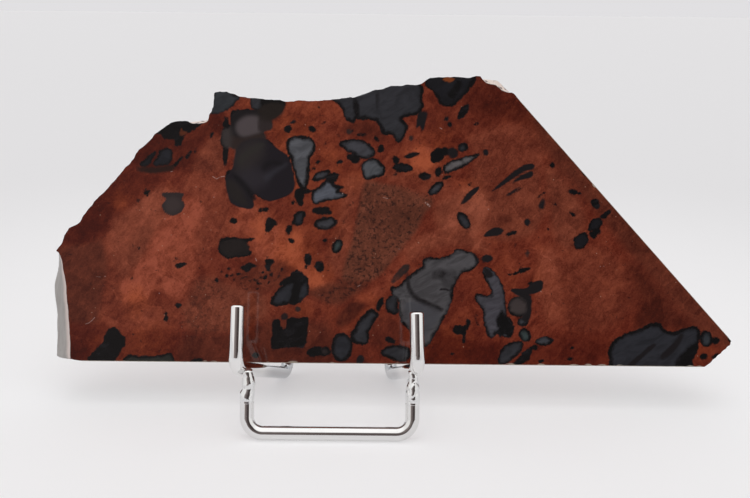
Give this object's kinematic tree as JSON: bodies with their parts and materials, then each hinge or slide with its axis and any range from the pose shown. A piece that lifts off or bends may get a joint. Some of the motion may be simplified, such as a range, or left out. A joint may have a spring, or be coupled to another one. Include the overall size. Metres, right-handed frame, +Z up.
{
  "type": "mahogany obsidian slab on a wire easel",
  "caption": "Polished slab of red-brown and black obsidian with sawn and broken edges, leaning on a small easel of bent chromed wire.",
  "frame": {"origin": "on the surface it stands on, under the middle of the whole object's box", "axes": "+Z up, +X along the slab's length, the polished face looks towards -Y"},
  "size_m": [0.1697, 0.045, 0.0809],
  "materials": {
    "obsidian": "high polish on the sawn faces, glassy fracture on the broken edges",
    "chromed_wire": "bright chrome plate"
  },
  "bodies": {
    "root": {"obsidian_slab": "obsidian", "cradle_wire": "chromed_wire", "front_leg": "chromed_wire"}
  },
  "joints": []
}
